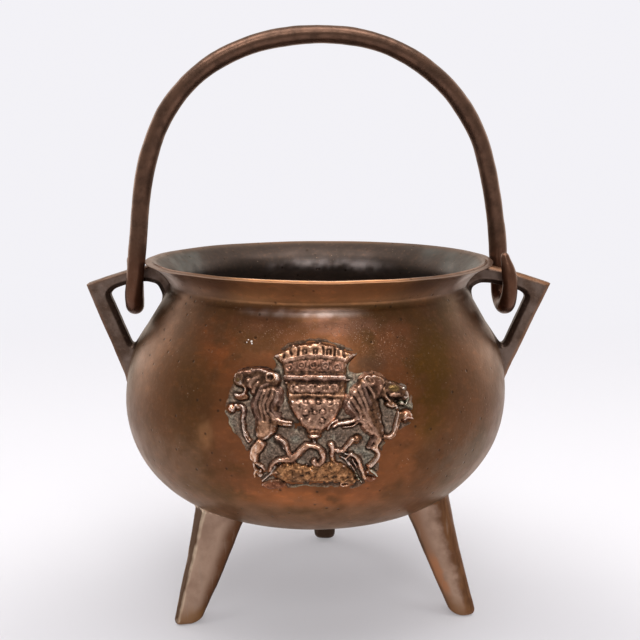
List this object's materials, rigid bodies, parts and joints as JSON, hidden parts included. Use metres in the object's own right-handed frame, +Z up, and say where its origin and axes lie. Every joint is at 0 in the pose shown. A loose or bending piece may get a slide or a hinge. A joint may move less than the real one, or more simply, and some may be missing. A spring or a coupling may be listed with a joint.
{
  "type": "cauldron",
  "caption": "Round-bellied bronze cauldron on splayed tapering legs, with angular ears, a swinging bail handle hooked round them, and a heraldic relief of an urn between lions.",
  "frame": {"origin": "on the floor under the middle of the pot, at the centre of the footprint", "axes": "+Z up, +X towards the ear on the viewer's right, -Y towards the front, which carries the relief"},
  "size_m": [0.2126, 0.1781, 0.2639],
  "materials": {
    "bowl_bronze": "worn brown patina",
    "leg_bronze": "scratched, greyish brown",
    "relief_ground": "dark, gritty",
    "relief_copper": "rubbed, reddish",
    "bail_metal": "dark, forged"
  },
  "bodies": {
    "pot": {"pot_body": "bowl_bronze", "ear_left": "bowl_bronze", "ear_right": "bowl_bronze", "leg_front_left": "leg_bronze", "leg_front_right": "leg_bronze", "leg_rear": "leg_bronze", "relief_ground_plate": "relief_ground", "relief_crowned_urn": "relief_copper", "relief_lion_left": "relief_copper", "relief_lion_right": "relief_copper", "relief_scrolls": "relief_copper"},
    "bail": {"bail": "bail_metal"}
  },
  "joints": [
    {"name": "bail_swing", "type": "hinge", "parent": "pot", "child": "bail", "pos_m": [0, 0, 0.14946], "axis": [1, 0, 0], "range_deg": [-110, 110]}
  ]
}
